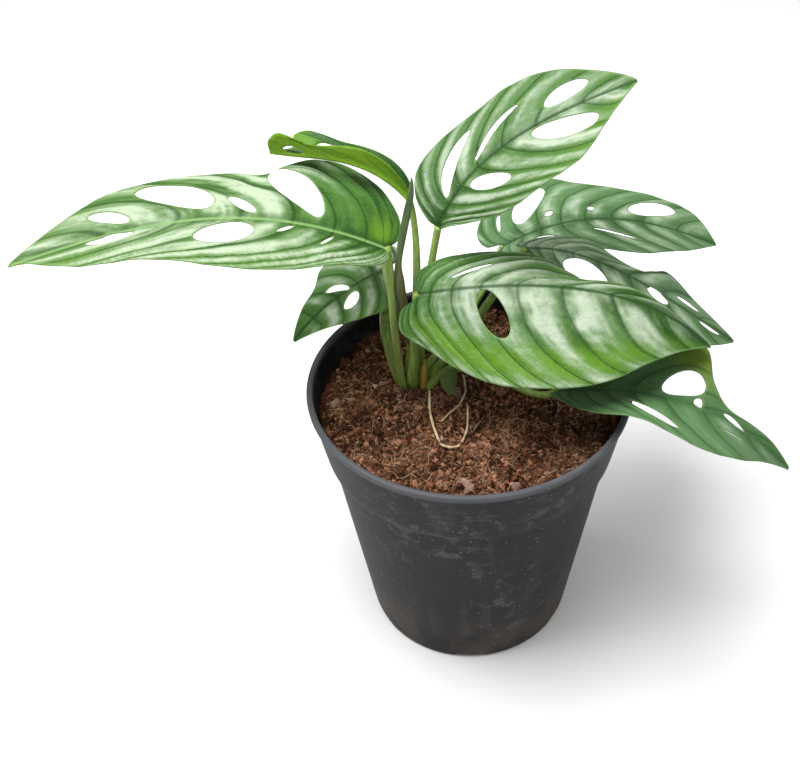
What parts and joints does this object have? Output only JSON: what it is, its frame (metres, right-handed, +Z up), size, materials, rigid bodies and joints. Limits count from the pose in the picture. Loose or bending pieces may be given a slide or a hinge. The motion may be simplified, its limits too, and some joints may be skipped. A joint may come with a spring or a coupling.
{
  "type": "potted monstera plant",
  "caption": "Swiss-cheese plant with pierced leaves on long arching stalks, growing from coir in a tapered round nursery pot with a collar and drained foot.",
  "frame": {"origin": "centre of the pot's flat foot, on the surface it stands on", "axes": "+Z up the pot's axis, +X to the right and the longest way across the leaves, +Y to the back, seen from the front"},
  "size_m": [0.3408, 0.2148, 0.2635],
  "materials": {
    "pot_plastic": "dusty matt black polypropylene with scuffs",
    "coir_soil": "moist crumbly coir with loose fibres",
    "leaf_green": "satin waxy leaf",
    "leaf_dark": "dull satin older or shaded leaf",
    "leaf_young": "bright soft young leaf",
    "stalk_green": "smooth green stalk",
    "bud_sheath": "dry yellow bud sheath",
    "root_skin": "thin cream air root"
  },
  "bodies": {
    "root": {"pot": "pot_plastic", "soil": "coir_soil", "stem": "stalk_green", "furled_leaf": "stalk_green", "bud": "bud_sheath", "air_root_loop": "root_skin", "air_root_short": "root_skin", "leaf_left": "leaf_green", "leaf_upper_right": "leaf_green", "leaf_small_left": "leaf_dark", "leaf_front_right": "leaf_green", "leaf_back_right": "leaf_green", "leaf_mid_right": "leaf_green", "leaf_low_right": "leaf_dark", "leaf_rolled": "leaf_young", "leaf_seedling": "leaf_dark", "stalk_left": "stalk_green", "stalk_upper_right": "stalk_green", "stalk_small_left": "stalk_green", "stalk_front_right": "stalk_green", "stalk_back_right": "stalk_green", "stalk_mid_right": "stalk_green", "stalk_low_right": "stalk_green", "stalk_rolled": "stalk_green"}
  },
  "joints": []
}
